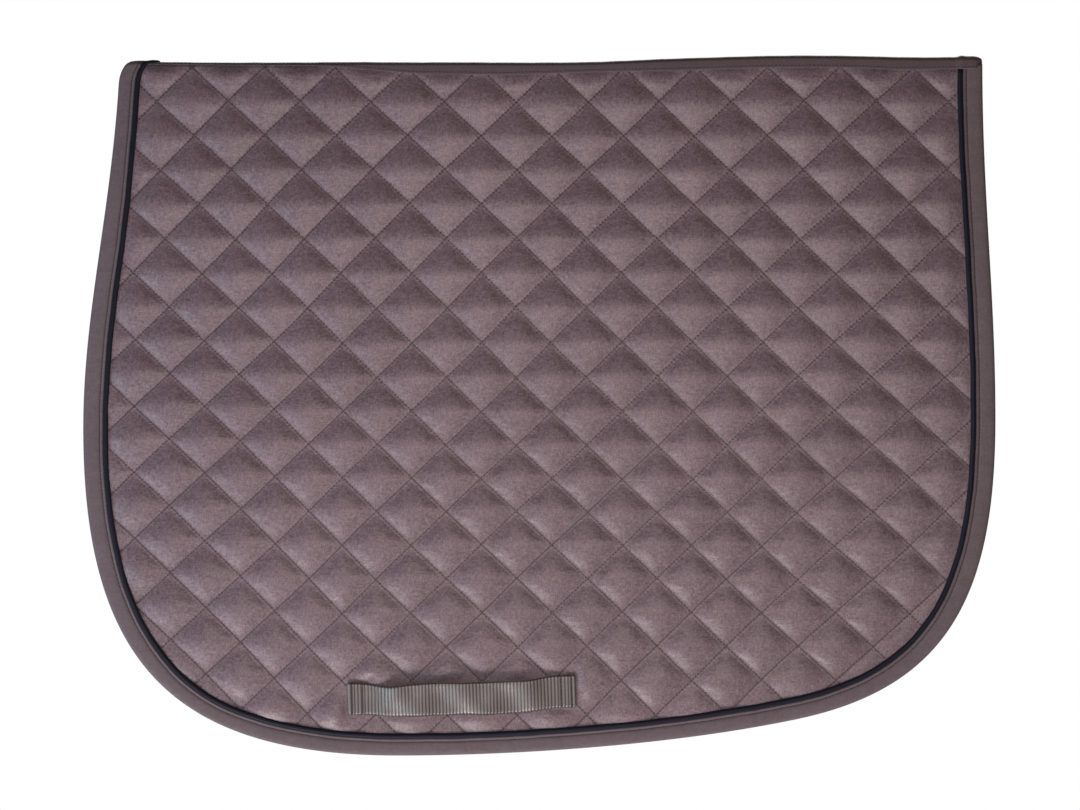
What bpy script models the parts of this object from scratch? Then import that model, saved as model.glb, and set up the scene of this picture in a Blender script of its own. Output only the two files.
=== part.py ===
"""Quilted saddle pad, hanging folded over its spine seam.

Row frame: +X towards the tail, -Y is the near (left) side, +Z up. The origin is
the middle of the fold, on the line that both flaps swing about. All sizes are
in metres. A flap's own measures are its depth below the top of the fold and its
level, the distance out from the plane between the two flaps.
"""

import math

import bmesh
import bpy
from mathutils import Vector

# Outline of one flap
PAD_LENGTH = 0.700  # between the front and rear bellies
PAD_DROP = 0.538  # from the top of the fold to the lowest edge
FOLD_RADIUS = 0.0044  # outside of the spine tape over the seam
FLAP_TOP_DEPTH = 0.0091  # where the flaps start below the fold, clear of it as they swing
FRONT_TOP_X = -0.322
REAR_TOP_X = 0.340
FRONT_BELLY_DEPTH = 0.287
REAR_BELLY_DEPTH = 0.279
LOWEST_X = -0.108
REAR_RISE = (0.198, 0.510)  # x and depth where the lower edge turns up to the rear
REAR_RISE_SLOPE = 0.21
HANDLES = {  # lengths of the outline curve's handles
    "front_top": 0.108,
    "front_belly_up": 0.091,
    "front_belly_down": 0.180,
    "lowest_front": 0.173,
    "lowest_rear": 0.081,
    "rise_front": 0.101,
    "rise_rear": 0.118,
    "rear_belly_down": 0.133,
    "rear_belly_up": 0.094,
    "rear_top": 0.098,
}
FRONT_TOP_SLOPE = 0.05  # x lost for each metre of depth at the front of the spine
EDGE_STEPS = (5, 13, 6, 13, 5)  # points on each of the outline's five curves

# Layers, as levels out from the plane between the flaps
GAP = 0.0003  # clearance between neighbouring pieces
LINING_TAPE = (0.0003, 0.0009)
LINING = (0.0012, 0.0020)
WADDING = (0.0023, 0.0033)  # under the binding, where it is pressed flat
SHELL = (0.0036, 0.0044)
QUILT_LIFT = 0.0002  # the stitched valleys stand this far off the pressed margin
PUFF_HEIGHT = 0.0030
SHELL_THICKNESS = SHELL[1] - SHELL[0]

# Diamond quilting
DIAMOND_LENGTH = 0.0552  # corner to corner along the pad
DIAMOND_HEIGHT = 0.0522  # corner to corner up the pad
QUILT_NODE = (0.0095, 0.1148)  # x and depth of one crossing of the stitch lines
PUFF_CROWN = 0.42  # flat crown of a puff as a share of its diamond

# Edge finish
BINDING_WIDTH = 0.0155
BINDING_THICKNESS = 0.0008
PIPING_DIAMETER = 0.0034
CORD_DIAMETER = 0.0020
COVER_THICKNESS = 0.0004
THREAD_DIAMETER = 0.0006
BINDING_SEAM_INSET = 0.0130  # stitch line in from the pad's edge
PIPING_INSET = BINDING_WIDTH + GAP + PIPING_DIAMETER / 2
QUILT_INSET = PIPING_INSET + PIPING_DIAMETER / 2 + GAP

# Spine tape
TAPE_THICKNESS = 0.0008
LINING_TAPE_THICKNESS = 0.0006
TAPE_TOP_DEPTH = FOLD_RADIUS + 0.0003  # the tape's sides hang close against the fold
TAPE_DEPTH_REAR = 0.0128  # lower edge at the rear, the same on both flaps
TAPE_SKEW = 0.0020  # the tape sits this much further over the off side at the front
TAPE_SKEW_FROM, TAPE_SKEW_TO = -0.21, -0.07  # x over which the skew fades out
TAPE_STEPS = 12

# Girth keeper, a webbing loop sewn down at both ends
WEBBING_WIDTH = 0.025
WEBBING_THICKNESS = 0.0013
KEEPER_LENGTH = 0.174
KEEPER_CENTRE = (-0.0595, 0.491)  # x and depth
KEEPER_TILT = math.radians(2)  # rear end higher
KEEPER_TAB = 0.013  # length of each sewn end
KEEPER_RAMP = 0.0127  # rise from a sewn end to the free span
KEEPER_CLEARANCE = 0.0046  # room between the puffs and the free span
PUFF_TOP = SHELL[1] + QUILT_LIFT + PUFF_HEIGHT

COLOURS = {  # base colour, roughness
    "shell_satin": ((0.150, 0.117, 0.124, 1), 0.55),
    "lining_cotton": ((0.125, 0.105, 0.110, 1), 0.85),
    "wadding_fibre": ((0.80, 0.79, 0.76, 1), 0.95),
    "binding_cotton": ((0.125, 0.105, 0.110, 1), 0.80),
    "piping_navy": ((0.012, 0.013, 0.022, 1), 0.45),
    "cord_cotton": ((0.72, 0.70, 0.66, 1), 0.90),
    "webbing_grey": ((0.26, 0.23, 0.21, 1), 0.40),
    "thread_taupe": ((0.085, 0.068, 0.074, 1), 0.60),
}


# ---------------------------------------------------------------- small tools


def clear_scene():
    for obj in list(bpy.data.objects):
        bpy.data.objects.remove(obj)


def material(name):
    made = bpy.data.materials.get(name)
    if made is None:
        colour, roughness = COLOURS[name]
        made = bpy.data.materials.new(name)
        made.use_nodes = True
        shader = made.node_tree.nodes["Principled BSDF"]
        shader.inputs["Base Color"].default_value = colour
        shader.inputs["Roughness"].default_value = roughness
        shader.inputs["Metallic"].default_value = 0
        made.diffuse_color = colour
    return made


def empty(name, location=(0, 0, 0), parent=None):
    made = bpy.data.objects.new(name, None)
    bpy.context.scene.collection.objects.link(made)
    made.location = location
    made.parent = parent
    return made


def mesh_object(name, bm, parent, finish):
    """Puts a closed bmesh in the scene as one named piece."""
    bmesh.ops.recalc_face_normals(bm, faces=bm.faces)
    mesh = bpy.data.meshes.new(name)
    bm.to_mesh(mesh)
    bm.free()
    made = bpy.data.objects.new(name, mesh)
    bpy.context.scene.collection.objects.link(made)
    made.parent = parent
    if finish:
        mesh.materials.append(material(finish))
    return made


def helper(obj):
    """Marks a cutting or joining shape, which isn't a piece."""
    obj.hide_render = True
    obj.display_type = "WIRE"
    return obj


def combine(obj, operation, other):
    step = obj.modifiers.new(operation.lower(), "BOOLEAN")
    step.operation = operation
    step.solver = "EXACT"
    step.object = helper(other)


def z_of(depth):
    return FOLD_RADIUS - depth


def smoothstep(value, low, high):
    share = min(1.0, max(0.0, (value - low) / (high - low)))
    return share * share * (3 - 2 * share)


# ------------------------------------------------------------- flap's outline


def bezier(points, steps):
    """Points along a cubic curve, without its last one."""
    p0, p1, p2, p3 = points
    for i in range(steps):
        t = i / steps
        s = 1 - t
        yield p0 * s**3 + p1 * (3 * s * s * t) + p2 * (3 * s * t * t) + p3 * t**3


def edge_curves():
    """The free edge as five cubic curves in x and depth, from the front of the spine to the rear."""
    h = HANDLES
    down, along = Vector((0, 1)), Vector((1, 0))
    rise = Vector((1, -REAR_RISE_SLOPE))
    front_top = Vector((FRONT_TOP_X, FLAP_TOP_DEPTH))
    front_belly = Vector((-PAD_LENGTH / 2, FRONT_BELLY_DEPTH))
    lowest = Vector((LOWEST_X, PAD_DROP))
    rear_rise = Vector(REAR_RISE)
    rear_belly = Vector((PAD_LENGTH / 2, REAR_BELLY_DEPTH))
    rear_top = Vector((REAR_TOP_X, FLAP_TOP_DEPTH))
    leaving = Vector((-FRONT_TOP_SLOPE, 1))
    stops = (
        (front_top, leaving * h["front_top"], -down * h["front_belly_up"], front_belly),
        (front_belly, down * h["front_belly_down"], -along * h["lowest_front"], lowest),
        (lowest, along * h["lowest_rear"], -rise * h["rise_front"], rear_rise),
        (rear_rise, rise * h["rise_rear"], down * h["rear_belly_down"], rear_belly),
        (rear_belly, -down * h["rear_belly_up"], down * h["rear_top"], rear_top),
    )
    return [(start, start + leave, end + arrive, end) for start, leave, arrive, end in stops]


def free_edge(front_depth=FLAP_TOP_DEPTH, rear_depth=FLAP_TOP_DEPTH):
    """The free edge as (x, depth) points, cut off level at a depth at each end."""
    curves = edge_curves()
    points = [p for curve, steps in zip(curves, EDGE_STEPS) for p in bezier(curve, steps)]
    points.append(curves[-1][-1])
    return cut_top(cut_top(points, front_depth)[::-1], rear_depth)[::-1]


def cut_top(points, depth):
    """Drops the leading points above a depth and starts exactly on it."""
    first = next(i for i, p in enumerate(points) if p.y > depth)
    above, below = points[max(first - 1, 0)], points[first]
    share = (depth - above.y) / (below.y - above.y) if first else 0
    return [above.lerp(below, share)] + points[first:]


def inset(points, distance):
    """The edge moved into the flap. Its two ends move level, so that they stay at their depth."""
    moved = []
    for i, p in enumerate(points):
        if i == 0:
            inward = Vector((1, 0))
        elif i == len(points) - 1:
            inward = Vector((-1, 0))
        else:
            run = (points[i + 1] - points[i - 1]).normalized()
            inward = Vector((run.y, -run.x))
        moved.append(p + inward * distance)
    return moved


# ------------------------------------------------------------- solid makers


def prism(name, outline, levels, side, parent, finish=None):
    """A flat sheet: a closed outline of (x, depth) points between two levels."""
    bm = bmesh.new()
    rings = [[bm.verts.new((p.x, side * level, z_of(p.y))) for p in outline] for level in levels]
    bm.faces.new(rings[0])
    bm.faces.new(rings[1][::-1])
    for i in range(len(outline)):
        j = (i + 1) % len(outline)
        bm.faces.new((rings[0][i], rings[0][j], rings[1][j], rings[1][i]))
    return mesh_object(name, bm, parent, finish)


def sweep(name, edge, profile, side, parent, finish):
    """A strip that follows the flap's edge. The profile is (inset, level) points, all round."""
    bm = bmesh.new()
    lines = [(inset(edge, across), side * level) for across, level in profile]
    rings = [
        [bm.verts.new((line[i].x, y, z_of(line[i].y))) for line, y in lines] for i in range(len(edge))
    ]
    for first, second in zip(rings, rings[1:]):
        for i in range(len(profile)):
            j = (i + 1) % len(profile)
            bm.faces.new((first[i], first[j], second[j], second[i]))
    bm.faces.new(rings[0])
    bm.faces.new(rings[-1][::-1])
    return mesh_object(name, bm, parent, finish)


def round_profile(centre, diameter, sides):
    return [
        (centre[0] + diameter / 2 * math.cos(a), centre[1] + diameter / 2 * math.sin(a))
        for a in (math.tau * (i + 0.5) / sides for i in range(sides))
    ]


def cover_profile(centre):
    """A thin sleeve round the piping cord, slit on the side that goes under the binding."""
    outer, wall, turns = PIPING_DIAMETER / 2, COVER_THICKNESS, 5
    slit = math.radians(22)
    angles = [-math.pi + slit + (math.tau - 2 * slit) * i / turns for i in range(turns + 1)]
    ring = [(outer, a) for a in angles] + [(outer - wall, a) for a in reversed(angles)]
    return [(centre[0] + r * math.cos(a), centre[1] + r * math.sin(a)) for r, a in ring]


def quilt_block(name, floor, valley, crown_share, side, parent, finish=None):
    """A block over the whole flap with a raised puff in each diamond. crown_share 0 gives a point."""
    bm = bmesh.new()
    half_x, half_z = DIAMOND_LENGTH / 2, DIAMOND_HEIGHT / 2
    columns = range(-math.ceil(PAD_LENGTH / 2 / half_x) - 1, math.ceil(PAD_LENGTH / 2 / half_x) + 2)
    rows = range(-math.ceil(QUILT_NODE[1] / half_z), math.ceil((PAD_DROP - QUILT_NODE[1]) / half_z) + 1)
    corners = {}

    def place(i, j, level):
        x, depth = QUILT_NODE[0] + i * half_x, QUILT_NODE[1] + j * half_z
        return Vector((x, side * level, z_of(depth)))

    def corner(i, j):
        if (i, j) not in corners:
            corners[i, j] = bm.verts.new(place(i, j, valley))
        return corners[i, j]

    for i in columns:
        for j in rows:
            if (i + j) % 2 == 0:
                continue
            around = [corner(i - 1, j), corner(i, j - 1), corner(i + 1, j), corner(i, j + 1)]
            top = place(i, j, valley + PUFF_HEIGHT)
            if crown_share:
                lift = Vector((0, side * PUFF_HEIGHT, 0))
                middle = place(i, j, valley)
                crown = [bm.verts.new(middle.lerp(v.co, crown_share) + lift) for v in around]
                bm.faces.new(crown)
            else:
                crown = [bm.verts.new(top)] * 4
            for k in range(4):
                n = (k + 1) % 4
                corners_of_face = [around[k], around[n], crown[n], crown[k]]
                bm.faces.new(list(dict.fromkeys(corners_of_face)))
    rim = [e for e in bm.edges if e.is_boundary]
    walls = bmesh.ops.extrude_edge_only(bm, edges=rim)["geom"]
    for v in (g for g in walls if isinstance(g, bmesh.types.BMVert)):
        v.co.y = side * floor
    bmesh.ops.holes_fill(bm, edges=[e for e in bm.edges if e.is_boundary])
    return mesh_object(name, bm, parent, finish)


def half_sleeve(name, radius, thickness, x_range, parent, finish, steps=8):
    """Half a sleeve over the fold, open below."""
    bm = bmesh.new()
    angles = [math.pi * i / steps for i in range(steps + 1)]
    ring = [(radius, a) for a in angles] + [(radius - thickness, a) for a in reversed(angles)]
    ends = [[bm.verts.new((x, r * math.cos(a), r * math.sin(a))) for r, a in ring] for x in x_range]
    for i in range(len(ring)):
        j = (i + 1) % len(ring)
        bm.faces.new((ends[0][i], ends[0][j], ends[1][j], ends[1][i]))
    bm.faces.new(ends[0])
    bm.faces.new(ends[1][::-1])
    return mesh_object(name, bm, parent, finish)


def round_bar(name, ends, diameter, sides, parent, finish):
    start, end = ends
    length, radius = (end - start).length, diameter / 2
    bm = bmesh.new()
    bmesh.ops.create_cone(bm, cap_ends=True, segments=sides, radius1=radius, radius2=radius, depth=length)
    turn = Vector((0, 0, 1)).rotation_difference(end - start).to_matrix()
    bmesh.ops.rotate(bm, verts=bm.verts, matrix=turn)
    bmesh.ops.translate(bm, verts=bm.verts, vec=(start + end) / 2)
    return mesh_object(name, bm, parent, finish)


# ------------------------------------------------------------------ the spine


def tape_depth(x, side):
    """Lower edge of the spine tape. It sits skewed over the off side at the front."""
    skewed = 1 - smoothstep(x, TAPE_SKEW_FROM, TAPE_SKEW_TO)
    return TAPE_DEPTH_REAR + side * TAPE_SKEW * skewed


def tape_line(x_from, x_to, side, extra=0.0):
    """Points just below the tape's lower edge, from front to rear."""
    xs = [x_from + (x_to - x_from) * i / TAPE_STEPS for i in range(TAPE_STEPS + 1)]
    return [Vector((x, tape_depth(x, side) + extra)) for x in xs]


def tape_front():
    """The spine tape stops at the front piping, which goes over the fold."""
    return FRONT_TOP_X + PIPING_INSET + PIPING_DIAMETER / 2 + GAP


def make_spine(parent):
    """What is on the fold line itself. It stays put while the flaps swing."""
    taped = (tape_front(), REAR_TOP_X)
    inner_taped = (tape_front(), REAR_TOP_X - 0.002)
    bound = (FRONT_TOP_X, FRONT_TOP_X + BINDING_WIDTH)
    half_sleeve("spine_tape_crown", FOLD_RADIUS, TAPE_THICKNESS, taped, parent, "binding_cotton")
    half_sleeve("front_binding_crown", FOLD_RADIUS, BINDING_THICKNESS, bound, parent, "binding_cotton")
    radius = FOLD_RADIUS - TAPE_THICKNESS - GAP
    thickness = LINING_TAPE_THICKNESS
    half_sleeve("spine_lining_tape_crown", radius, thickness, inner_taped, parent, "lining_cotton")
    seam_height = radius - thickness - GAP - THREAD_DIAMETER / 2
    seam = [Vector((x, 0, seam_height)) for x in inner_taped]
    round_bar("spine_seam_thread", seam, THREAD_DIAMETER, 6, parent, "thread_taupe")
    piping_x = FRONT_TOP_X + PIPING_INSET
    over = [Vector((piping_x, y, FOLD_RADIUS - PIPING_DIAMETER / 2)) for y in (-0.0038, 0.0038)]
    round_bar("front_piping_crown", over, PIPING_DIAMETER, 8, parent, "piping_navy")


# ------------------------------------------------------------------- one flap


def quilted_area(side, margin):
    """Where the quilting shows: inside the piping and below the spine tape."""
    drop = GAP + margin
    edge = free_edge(tape_depth(FRONT_TOP_X, side) + drop, TAPE_DEPTH_REAR + drop)
    line = inset(edge, QUILT_INSET + margin)
    return line + tape_line(line[-1].x, line[0].x, side, drop)[1:-1]


def quilted_sheet(name, outline, levels, crown_share, margin, side, parent, finish=None):
    """A pressed sheet with a puff in each diamond, joined on in the quilted area."""
    top = levels[1]
    sheet = quilt_block(name, top - 0.0005, top + QUILT_LIFT, crown_share, side, parent, finish)
    area = prism(name + "_area", quilted_area(side, margin), (0, 0.02), side, parent)
    combine(sheet, "INTERSECT", area)
    combine(sheet, "UNION", prism(name + "_margin", outline, levels, side, parent))
    return sheet


def cloth_layers(prefix, side, parent):
    """Lining, wadding and quilted shell. All three run in under the binding."""
    edge = free_edge()
    outline = inset(edge, BINDING_THICKNESS + GAP)
    wider = inset(edge, -0.004)
    wider[0], wider[-1] = (p - Vector((0, 0.003)) for p in (wider[0], wider[-1]))
    prism(prefix + "_lining", outline, LINING, side, parent, "lining_cotton")
    margin = SHELL_THICKNESS + 2 * GAP
    quilted_sheet(prefix + "_wadding", outline, WADDING, 0, margin, side, parent, "wadding_fibre")

    below = SHELL[0] - 0.0010
    solid = (below, SHELL[1])
    name = prefix + "_outer_shell"
    shell = quilted_sheet(name, outline, solid, PUFF_CROWN, 0, side, parent, "shell_satin")
    filled = (below - 0.0020, SHELL[0])
    hollow = quilted_sheet(prefix + "_hollow", wider, filled, 0, SHELL_THICKNESS, side, parent)
    combine(shell, "DIFFERENCE", hollow)


def edge_finish(prefix, side, parent):
    """Binding folded round the edge, piping along it, and the thread that holds them."""
    below_tape = TAPE_DEPTH_REAR + GAP
    edge = free_edge(rear_depth=below_tape)
    inner, outer = LINING_TAPE[0], SHELL[1] + GAP + BINDING_THICKNESS
    t, w = BINDING_THICKNESS, BINDING_WIDTH
    lining_wall = LINING[0] - GAP
    channel = [
        (0, inner),
        (w, inner),
        (w, lining_wall),
        (t, lining_wall),
        (t, outer - t),
        (w, outer - t),
        (w, outer),
        (0, outer),
    ]
    sweep(prefix + "_edge_binding", edge, channel, side, parent, "binding_cotton")
    piping_level = SHELL[1] + GAP + PIPING_DIAMETER / 2
    centre = (PIPING_INSET, piping_level)
    sweep(prefix + "_piping_cover", edge, cover_profile(centre), side, parent, "piping_navy")
    cord = round_profile(centre, CORD_DIAMETER, 4)
    sweep(prefix + "_piping_cord", edge, cord, side, parent, "cord_cotton")
    seam = round_profile((BINDING_SEAM_INSET, outer + GAP + THREAD_DIAMETER / 2), THREAD_DIAMETER, 4)
    sweep(prefix + "_binding_thread", edge, seam, side, parent, "thread_taupe")


def spine_tapes(prefix, side, parent):
    """The parts of the two spine tapes that lie on this flap, and the outer one's stitches."""
    front = Vector((tape_front(), TAPE_TOP_DEPTH))
    rear = Vector((REAR_TOP_X, TAPE_TOP_DEPTH))
    level = SHELL[1] + GAP
    outer = [front, rear] + tape_line(front.x, rear.x, side)[::-1]
    prism(prefix + "_spine_tape", outer, (level, level + TAPE_THICKNESS), side, parent, "binding_cotton")
    lining_end = REAR_TOP_X - BINDING_WIDTH - GAP
    lining_front = FRONT_TOP_X + BINDING_WIDTH + GAP
    lining = [
        Vector((lining_front, FLAP_TOP_DEPTH)),
        Vector((lining_end, FLAP_TOP_DEPTH)),
        Vector((lining_end, TAPE_DEPTH_REAR)),
        Vector((lining_front, TAPE_DEPTH_REAR)),
    ]
    prism(prefix + "_lining_tape", lining, LINING_TAPE, side, parent, "lining_cotton")
    low, high = (tape_line(front.x, rear.x, side, -up) for up in (0.0010, 0.0010 + THREAD_DIAMETER))
    bottom = level + TAPE_THICKNESS + GAP
    levels = (bottom, bottom + THREAD_DIAMETER)
    prism(prefix + "_spine_tape_thread", low + high[::-1], levels, side, parent, "thread_taupe")


def keeper_piece(name, profile, side, parent, finish="webbing_grey"):
    """A width of webbing with a side view of (along, level) points, about the keeper's own middle."""
    bm = bmesh.new()
    half = WEBBING_WIDTH / 2
    ends = [[bm.verts.new((along, side * level, z)) for along, level in profile] for z in (-half, half)]
    for i in range(len(profile)):
        j = (i + 1) % len(profile)
        bm.faces.new((ends[0][i], ends[0][j], ends[1][j], ends[1][i]))
    bm.faces.new(ends[0])
    bm.faces.new(ends[1][::-1])
    return mesh_object(name, bm, parent, finish)


def box_stitch(name, middle, level, side, parent):
    """The thread sewn round a keeper's end, as one closed rectangle."""
    bm = bmesh.new()
    half_along, half_up, t = KEEPER_TAB / 2 - 0.0025, WEBBING_WIDTH / 2 - 0.0020, THREAD_DIAMETER
    rings = []
    for sx, sz in ((-1, -1), (1, -1), (1, 1), (-1, 1)):
        section = ((0, 0), (t, 0), (t, t), (0, t))
        rings.append([])
        for inward, up in section:
            along, across = middle + sx * (half_along - inward), sz * (half_up - inward)
            rings[-1].append(bm.verts.new((along, side * (level + up), across)))
    for first, second in zip(rings, rings[1:] + rings[:1]):
        for i in range(4):
            j = (i + 1) % 4
            bm.faces.new((first[i], first[j], second[j], second[i]))
    return mesh_object(name, bm, parent, "thread_taupe")


def girth_keeper(prefix, side, parent):
    """Two sewn ends on the flap, and the free span between them, which lifts off it."""
    pose = (KEEPER_CENTRE[0], 0, z_of(KEEPER_CENTRE[1]))
    sewn = empty(prefix + "_keeper_sewn", pose, parent)
    lifted = empty(prefix + "_keeper_lift", pose, parent)
    for frame in (sewn, lifted):
        frame.rotation_euler = (0, -KEEPER_TILT, 0)
    half = KEEPER_LENGTH / 2
    tab_end = half - KEEPER_TAB
    ramp_end = tab_end - KEEPER_RAMP
    low = PUFF_TOP + GAP
    doubled = low + 2 * WEBBING_THICKNESS
    high = PUFF_TOP + KEEPER_CLEARANCE
    end_profile = [
        (half, low),
        (tab_end, low),
        (ramp_end, high),
        (ramp_end, high + WEBBING_THICKNESS),
        (tab_end, doubled),
        (half, doubled),
    ]
    for end, way in (("front", -1), ("rear", 1)):
        profile = [(way * along, level) for along, level in end_profile]
        keeper_piece(f"{prefix}_keeper_{end}_end", profile, side, sewn)
        middle = way * (half - KEEPER_TAB / 2)
        box_stitch(f"{prefix}_keeper_{end}_thread", middle, doubled + GAP, side, sewn)
    reach = ramp_end - GAP
    top = high + WEBBING_THICKNESS
    span = [(-reach, high), (reach, high), (reach, top), (-reach, top)]
    keeper_piece(prefix + "_keeper_span", span, side, lifted)


def make_flap(prefix, side, parent):
    cloth_layers(prefix, side, parent)
    edge_finish(prefix, side, parent)
    spine_tapes(prefix, side, parent)
    girth_keeper(prefix, side, parent)


def main():
    clear_scene()
    spine = empty("spine")
    make_spine(spine)
    for prefix, side in (("near", -1), ("off", 1)):
        make_flap(prefix, side, empty(prefix + "_flap", parent=spine))


main()
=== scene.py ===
import math

import bpy
import numpy as np
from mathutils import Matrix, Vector


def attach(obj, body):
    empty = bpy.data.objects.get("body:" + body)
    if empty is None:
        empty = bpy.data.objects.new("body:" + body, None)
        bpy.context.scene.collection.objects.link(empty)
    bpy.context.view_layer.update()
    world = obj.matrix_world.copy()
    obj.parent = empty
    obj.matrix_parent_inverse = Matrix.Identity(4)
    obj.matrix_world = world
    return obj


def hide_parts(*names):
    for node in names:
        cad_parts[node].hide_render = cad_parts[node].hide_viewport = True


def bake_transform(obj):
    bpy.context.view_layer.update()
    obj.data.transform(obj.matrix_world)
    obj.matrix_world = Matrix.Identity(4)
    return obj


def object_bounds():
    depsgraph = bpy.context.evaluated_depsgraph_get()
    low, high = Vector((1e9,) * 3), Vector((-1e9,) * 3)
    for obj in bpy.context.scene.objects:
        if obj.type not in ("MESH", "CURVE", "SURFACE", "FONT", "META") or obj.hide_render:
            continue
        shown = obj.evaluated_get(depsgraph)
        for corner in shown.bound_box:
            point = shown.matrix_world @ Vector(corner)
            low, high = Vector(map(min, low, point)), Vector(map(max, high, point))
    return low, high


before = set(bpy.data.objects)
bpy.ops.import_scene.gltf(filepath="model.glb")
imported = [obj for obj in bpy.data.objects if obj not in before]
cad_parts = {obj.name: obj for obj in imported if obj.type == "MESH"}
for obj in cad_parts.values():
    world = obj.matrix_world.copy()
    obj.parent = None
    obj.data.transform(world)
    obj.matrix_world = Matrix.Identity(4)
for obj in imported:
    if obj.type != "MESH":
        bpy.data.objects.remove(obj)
cadLow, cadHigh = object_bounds()
scene = bpy.context.scene
print("frame loaded")

# x runs from the withers to the tail, z is up, and each flap's level is its distance
# out from the plane between the two flaps. Sizes are in millimetres where mm multiplies them.
mm = 0.001
nearSide, offSide = -1, 1
flapOf = {nearSide: "near_flap", offSide: "off_flap"}
nameOf = {nearSide: "near", offSide: "off"}


# small maths, all on numpy arrays
def smooth(x, start, end):
    t = np.clip((np.asarray(x, float) - start) / (end - start), 0, 1)
    return t * t * (3 - 2 * t)


def bump(x, centre, width):
    return np.exp(-(((np.asarray(x, float) - centre) / width) ** 2))


def ripple(x, wavelength, seed, octaves=3):
    # smooth waviness along a line, from -1 to 1 or so, the same on every run
    total = 0.0
    for k in range(octaves):
        phase = math.sin(seed * 12.9898 + k * 78.233) * 43758.5453 % math.tau
        total = total + np.sin(math.tau * x / (wavelength * (1.0, 0.618, 0.37, 0.21)[k]) + phase) / (1 + k)
    return total / 1.6


# the fold line: lower over the withers half, where the cloth lies slacker
foldShape = {
    "top": cadHigh.z,
    "frontSag": 4.8 * mm,
    "rearSag": -0.65 * mm,
    "sagFrom": 0.005,
    "sagTo": 0.205,
    "rearDip": 1.6 * mm,
    "halfThickness": 4.6 * mm,
    "rise": 2.6 * mm,
}


def foldSag(x):
    s = foldShape
    sag = s["rearSag"] + (s["frontSag"] - s["rearSag"]) * (1 - smooth(x, s["sagFrom"], s["sagTo"]))
    sag = sag + s["rearDip"] * smooth(x, 0.20, 0.30)
    return sag + 0.25 * mm * ripple(x, 0.21, 3)


# the free edge, as stops along it with the handle before and after each one
edgeStops = {
    "frontOfSpine": ((-322, 9.1), None, (-5.4, 108)),
    "frontBelly": ((-350, 287), (0, -91), (0, 180)),
    "lowest": ((-108, 538), (-173, 0), (81, 0)),
    "rearRise": ((198, 510), (-101, 21.2), (118, -24.8)),
    "rearBelly": ((350, 279), (0, 133), (0, -94)),
    "rearOfSpine": ((340, 9.1), (0, 98), None),
}
frontCorner = {"across": 10.5 * mm, "down": 18 * mm}


def denseEdge():
    # x and depth below the fold, at 240 points on each curve
    points = []
    stops = list(edgeStops.values())
    t = np.linspace(0, 1, 240, endpoint=False)[:, None]
    for (start, _, leave), (end, arrive, _) in zip(stops, stops[1:]):
        p0, p3 = np.array(start, float), np.array(end, float)
        p1, p2 = p0 + leave, p3 + arrive
        points.append(p0 * (1 - t) ** 3 + p1 * 3 * t * (1 - t) ** 2 + p2 * 3 * t * t * (1 - t) + p3 * t**3)
    points.append(np.array([stops[-1][0]], float))
    return np.concatenate(points) * mm


def evenly(points, spacing):
    # the same line with points a fixed distance apart
    steps = np.linalg.norm(np.diff(points, axis=0), axis=1)
    run = np.concatenate([[0], np.cumsum(steps)])
    at = np.linspace(0, run[-1], max(2, round(run[-1] / spacing)) + 1)
    return np.stack([np.interp(at, run, points[:, k]) for k in range(points.shape[1])], 1), at


def cornerInset(depth, corner):
    # how far a rounded corner has drawn in at this depth below the fold
    t = np.clip((corner["down"] - depth) / corner["down"], 0, 1)
    return corner["across"] * (1 - np.sqrt(np.clip(1 - t * t, 0, 1)))


def edgeFrames(side, spacing, rearTop):
    # stations round the free edge, from the front of the fold to the rear: a point midway
    # between the flaps, the way into the cloth, the way out of the flap, and the run so far
    flat = denseEdge()
    top = foldShape["top"]
    line = np.stack([flat[:, 0], top - flat[:, 1]], 1)
    frontX = line[0, 0]
    centre = -float(foldSag(frontX))
    wrap = []
    for angle in np.linspace(90, 0, 16, endpoint=False):
        turn = math.radians(angle)
        depth = foldShape["halfThickness"] * (1 - math.sin(turn)) - centre - foldSag(frontX)
        wrap.append((frontX + float(cornerInset(depth, frontCorner)), centre, turn))
    upper = np.linspace(centre, line[0, 1], 5, endpoint=False)[:, None]
    rise = np.linspace(line[-1, 1], rearTop, 6)[1:, None]
    front = np.hstack([np.full_like(upper, frontX), upper])
    rear = np.hstack([np.full_like(rise, line[-1, 0]), rise])
    straight, _ = evenly(np.concatenate([front, line, rear]), spacing)
    depth = top - straight[:, 1] - foldSag(straight[:, 0])
    isFront = straight[:, 0] < 0
    tangent = np.gradient(straight, axis=0)
    tangent /= np.linalg.norm(tangent, axis=1)[:, None]
    inward = np.stack([-tangent[:, 1], tangent[:, 0]], 1)
    straight[:, 0] += np.where(isFront, cornerInset(depth, frontCorner), 0)
    middle = [(x, 0, z) for x, z, _ in wrap] + [(x, 0, z) for x, z in straight]
    into = [(1, 0, 0)] * len(wrap) + [(x, 0, z) for x, z in inward]
    out = [(0, side * math.cos(t), math.sin(t)) for _, _, t in wrap] + [(0, side, 0)] * len(straight)
    middle, into, out = (np.array(a, float) for a in (middle, into, out))
    outer = middle + out * foldShape["halfThickness"]
    run = np.concatenate([[0], np.cumsum(np.linalg.norm(np.diff(outer, axis=0), axis=1))])
    return {"middle": middle, "into": into, "out": out, "run": run}


def narrowing(x, z):
    # the binding takes in a little less cloth up the front edge, and along the bottom
    depth = foldShape["top"] - z
    upFront = np.where(np.asarray(x) < 0, 2.9 * mm * (1 - smooth(depth, 0.03, 0.15)), 0)
    return upFront + 2.1 * mm * smooth(depth, 0.45, 0.52)


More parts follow.
